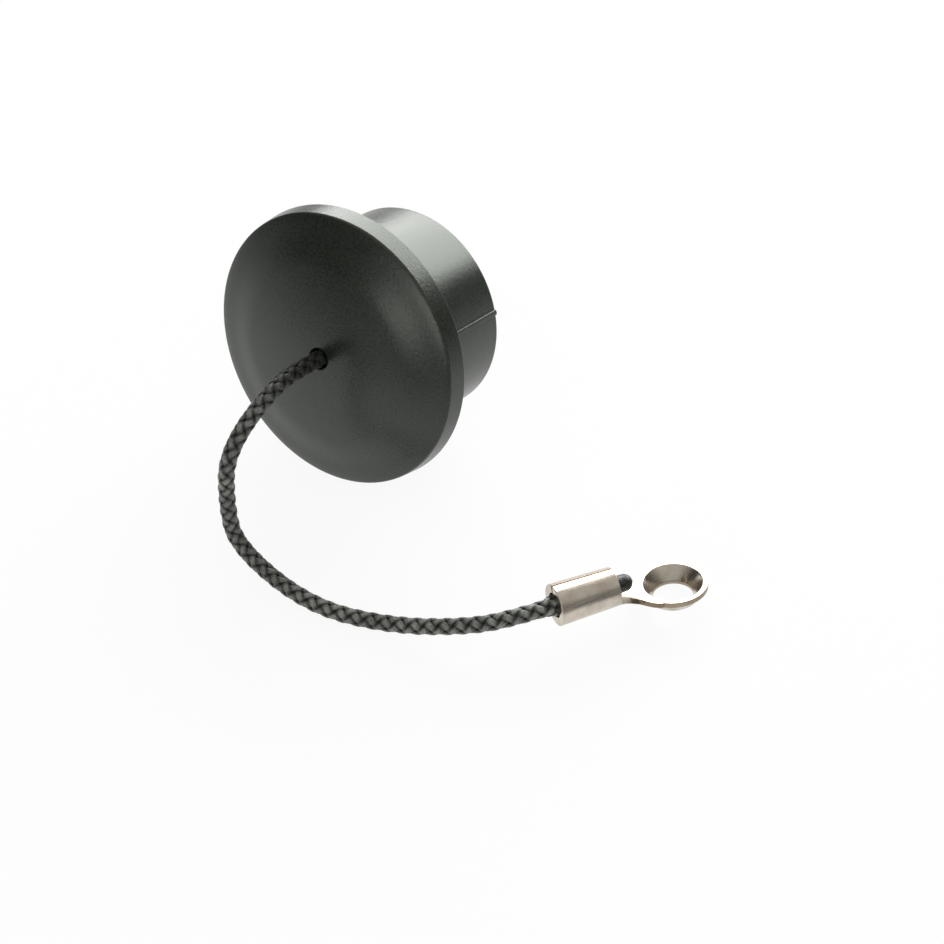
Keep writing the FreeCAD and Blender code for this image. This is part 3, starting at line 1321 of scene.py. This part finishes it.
@dataclass
class Tether:
    """Braided cord from the cap to the eyelet, with its stopper knot and its melted end. Millimetres."""

    cap: Cap
    eyelet: Eyelet
    cord_d: float = 1.5
    real_length: float = 56.0
    line_points: int = 24
    mouth_r: float = 0.92
    swell_length: float = 1.4
    braid_sharp_deg: float = 60.0
    knot_points: int = 12
    knot_line_points: int = 16
    knot_loop: float = 0.47
    knot_rise: float = 0.85
    knot_cord_r: float = 0.7
    knot_length: float = 3.3
    knot_lead: float = 0.05
    knot_tail: float = 1.5
    knot_tail_lean: float = 0.1
    end_lead: float = 0.2
    end_clearance: float = 0.01
    end_grip: float = 0.5
    end_columns: int = 32
    end_sharp_deg: float = 50.0
    nose_r: float = 0.775
    nose_reach: float = 1.75
    nose_inset: float = 0.7
    nose_steps: int = 8
    nose_softness: float = 0.4
    route: tuple[Place, ...] = (
        (0.0, -4.65, 12.502),
        (0.0, -8.151, 13.699),
        (0.0, -12.6, 15.0),
        (0.0, -19.1, 12.4),
        (0.0, -19.85, 6.1),
        (1.3, -20.5, 1.75),
        (9.8, -21.1, 0.75),
        (16.8, -18.5, 0.75),
        (23.4, -15.5, 2.9),
        (26.625, -12.632, 4.162),
        (27.99, -10.19, 4.04),
    )

    def build_cord(self) -> tuple[Object, CordLine]:
        """Braid the cord along its route.

        Returns:
            The piece and the line that it follows.
        """
        line = CordLine("cord_line", [Vector(place) for place in self.route], self.line_points)

        def swell(run: float) -> float:
            """Growth of the cord's radius where it goes into the barrel."""
            rise = soft_rise(run, (line.length - self.swell_length, line.length))
            return (self.mouth_r - self.cord_d / 2) * rise

        bm = Braid(outer_r=self.cord_d / 2, swell=swell).build(line)
        return make_piece("cord_braid", bm, Matrix.Scale(MM, 4), self.braid_sharp_deg), line

    def build_knot(self) -> Object:
        """Tie the stopper knot inside the cap.

        Returns:
            The piece.
        """
        lay = self.cap.lay()
        low = self.cap.seat_z - self.knot_length
        middle = self.cap.seat_z - self.knot_length / 2
        route = [lay.point((0.0, 0.0, self.cap.seat_z - self.knot_lead))]
        for step in range(self.knot_points):
            turn = math.tau * (step + 0.5) / self.knot_points
            route.append(lay.point((
                self.knot_loop * (math.sin(turn) + 2 * math.sin(2 * turn)),
                self.knot_loop * (math.cos(turn) - 2 * math.cos(2 * turn)),
                middle - self.knot_rise * math.sin(3 * turn),
            )))
        route.append(lay.point((0.0, 0.0, low)))
        route.append(lay.point((self.knot_tail_lean, self.knot_tail_lean, low - self.knot_tail)))
        line = CordLine("knot_line", route, self.knot_line_points)
        bm = Braid(outer_r=self.knot_cord_r, helix_pitch=5.0, strand_width=0.58, core_r=0.46).build(line)
        return make_piece("stopper_knot", bm, Matrix.Scale(MM, 4), self.braid_sharp_deg)

    def build_end(self) -> Object:
        """Turn the crimped end of the cord with its melted nose.

        Returns:
            The piece.
        """
        bm = bmesh.new()
        bore = self.eyelet.barrel_bore_r - self.end_clearance
        length = self.eyelet.barrel_length
        nose_z = length + self.nose_reach - self.nose_r
        line = SectionLine(bm)
        line.to(
            (0.0, -self.end_lead),
            (self.mouth_r - self.end_lead, -self.end_lead),
            (bore, self.end_grip),
            (bore, length - self.nose_inset),
            (self.nose_r, length),
            (self.nose_r, nose_z),
        )
        line.swing((0.0, nose_z), -math.pi / 2, self.nose_steps)
        spin_round(bm, ALONG_Z, self.end_columns)
        nose = [vert for vert in bm.verts if vert.co.z > length - self.end_lead]
        bmesh.ops.smooth_vert(
            bm, verts=nose, factor=self.nose_softness, use_axis_x=True, use_axis_y=True, use_axis_z=True,
        )
        upright = Matrix.Rotation(math.pi / 2, 4, "Y")
        return make_piece("melted_end", bm, self.eyelet.lay().to_row() @ upright, self.end_sharp_deg)

    def dress(self, cord: Object, knot: Object, end: Object, shared: SharedEffects) -> None:
        """Give the cord and its knot their yarn, and the end its melted bead.

        Args:
            cord: Braided piece.
            knot: Stopper knot.
            end: Crimped and melted end.
            shared: Effects that several finishes use.
        """
        fibre = BraidFibre().make(shared)
        dress(cord, fibre, Slot.CORD, Node.CORD)
        dress(knot, fibre, Slot.CORD, Node.KNOT)
        dress(end, MeltedYarn().make(shared), Slot.CORD)


@dataclass(frozen=True)
class Softbox:
    """Soft rectangular lamp that faces the object. Metres; a level of 1 is white."""

    name: str
    at: Place
    size: Span
    level: float

    def hang(self) -> None:
        """Put the lamp in its place."""
        light = bpy.data.lights.new(self.name, "AREA")
        light.shape = "RECTANGLE"
        light.size, light.size_y = self.size
        light.energy = self.level * math.pi * self.size[0] * self.size[1]
        lamp = put_in_scene(self.name, light)
        lamp.location = self.at
        lamp.rotation_euler = (-Vector(self.at)).to_track_quat("-Z", "Y").to_euler()
        lamp.visible_camera = False


@dataclass
class Studio:
    """Pale floor, soft light and the camera of the photograph's view. Metres."""

    camera_at: Place = (0.09841, -0.11339, 0.17447)
    forward: Place = (-0.3851, 0.5021, -0.7743)
    lens_mm: float = 95.34
    sensor_mm: float = 36.0
    clip_start: float = 0.01
    floor_size: float = 3.0
    floor_drop: float = 0.00002
    floor_colour: Colour = (0.86, 0.86, 0.86)
    floor_rough: float = 0.9
    floor_gloss: float = 0.1
    floor_white: float = 0.92
    # painted pool of light in the floor's reflections: where it fades and its level far out
    reflected_glow_span: Span = (0.025, 0.12)
    far_reflected_glow: float = 0.42
    wall_r: float = 2.2
    wall_span: Span = (0.66, 1.76)
    wall_levels: Span = (0.06, 0.6)
    wall_colour: Colour = (1.0, 0.98, 0.95)
    lamps: tuple[Softbox, ...] = (
        Softbox("back_softbox", (-0.149, 0.449, 0.205), (0.72, 0.42), 6.4),
        Softbox("front_softbox", (0.025, -0.468, 0.145), (0.24, 0.12), 2.9),
        Softbox("side_softbox", (0.42, -0.22, 0.12), (0.3, 0.3), 0.65),
    )

    def build(self) -> None:
        """Set up the stage."""
        bpy.context.scene.view_settings.view_transform = "Standard"
        self._floor()
        self._walls()
        self._world()
        for lamp in self.lamps:
            lamp.hang()
        self._camera()

    def _floor(self) -> None:
        """Lay a pale floor that keeps the shadow and reads white where none falls; in reflections it glows
        brightest near the object and dimmer farther out, a painted pool of light.
        """
        bm = bmesh.new()
        bmesh.ops.create_grid(bm, x_segments=1, y_segments=1, size=self.floor_size)
        bmesh.ops.translate(bm, verts=bm.verts, vec=(0.0, 0.0, -self.floor_drop))
        floor = self._stage_object("floor", bm)
        material, board, shader = new_material("pale_floor")
        board.wire(
            shader, Base_Color=(*self.floor_colour, 1.0), Roughness=self.floor_rough,
            Specular_IOR_Level=self.floor_gloss,
        )
        rays = board.add("ShaderNodeLightPath").outputs
        seen = board.combine("MAXIMUM", rays["Is Camera Ray"], rays["Is Glossy Ray"])
        seen = board.combine("MAXIMUM", seen, rays["Is Transmission Ray"])
        place = board.add("ShaderNodeTexCoord").outputs["Object"]
        away = board.add("ShaderNodeVectorMath", {"operation": "LENGTH"}, Vector=place).outputs["Value"]
        # painted pool of light: the floor's glow in reflections fades from full near the object to a lower
        # level far out
        reflected_glow = board.spread(away, self.reflected_glow_span, (1.0, self.far_reflected_glow))
        level = board.combine("MAXIMUM", rays["Is Camera Ray"], reflected_glow)
        white = board.add("ShaderNodeEmission", Color=WHITE, Strength=level)
        mix = board.add("ShaderNodeMixShader", Fac=board.combine("MULTIPLY", seen, self.floor_white))
        board.feed(mix.inputs[1], shader.outputs["BSDF"])
        board.feed(mix.inputs[2], white.outputs["Emission"])
        board.wire(board.tree.nodes["Material Output"], Surface=mix.outputs["Shader"])
        floor.data.materials.append(material)

    def _walls(self) -> None:
        """Surround the stage with walls, dim below and paler overhead, that the camera does not see."""
        bm = bmesh.new()
        bmesh.ops.create_uvsphere(bm, u_segments=48, v_segments=24, radius=self.wall_r)
        walls = self._stage_object("studio_walls", bm)
        walls.visible_camera = False
        material, board, _ = new_material("dim_walls")
        place = board.add("ShaderNodeTexCoord").outputs["Object"]
        height = board.add("ShaderNodeSeparateXYZ", Vector=place).outputs["Z"]
        level = board.spread(height, self.wall_span, self.wall_levels)
        glow = board.add("ShaderNodeEmission", Color=(*self.wall_colour, 1.0), Strength=level)
        board.wire(board.tree.nodes["Material Output"], Surface=glow.outputs["Emission"])
        walls.data.materials.append(material)

    def _world(self) -> None:
        """White surroundings, seen only past the floor's edge."""
        world = bpy.data.worlds.new("surroundings")
        world.use_nodes = True
        NodeBoard(world.node_tree).wire(world.node_tree.nodes["Background"], Color=WHITE, Strength=1.0)
        bpy.context.scene.world = world

    def _stage_object(self, name: str, bm: BMesh) -> Object:
        """Put a mesh on the stage.

        Args:
            name: Name of the object.
            bm: Its mesh in metres; it is used up.

        Returns:
            The new object.
        """
        placed = put_in_scene(name, settle(name, bm))
        return placed

    def _camera(self) -> None:
        """Stand the camera where the photograph was taken from."""
        data = bpy.data.cameras.new("camera")
        data.sensor_width = self.sensor_mm
        data.sensor_fit = "HORIZONTAL"
        data.lens = self.lens_mm
        data.clip_start = self.clip_start
        camera = put_in_scene("camera", data)
        camera.location = self.camera_at
        camera.rotation_euler = Vector(self.forward).to_track_quat("-Z", "Y").to_euler()
        bpy.context.scene.camera = camera


def main() -> None:
    """Build the sub-assemblies in order, report their pieces and set the stage."""
    logging.basicConfig(level=logging.INFO, format="%(name)s: %(message)s")
    shared = SharedEffects()
    cap = Cap()
    eyelet = Eyelet()
    tether = Tether(cap, eyelet)
    moulding = cap.build()
    cap.dress(moulding, shared)
    pressing = eyelet.build()
    eyelet.dress(pressing, shared)
    cord, line = tether.build_cord()
    knot = tether.build_knot()
    end = tether.build_end()
    tether.dress(cord, knot, end, shared)
    for piece in (moulding, pressing, cord, knot, end):
        LOG.info("%s: %d faces", piece.name, len(piece.data.polygons))
    LOG.info("cord line: %.2f mm", line.length)
    Studio().build()


if __name__ == "__main__":
    main()
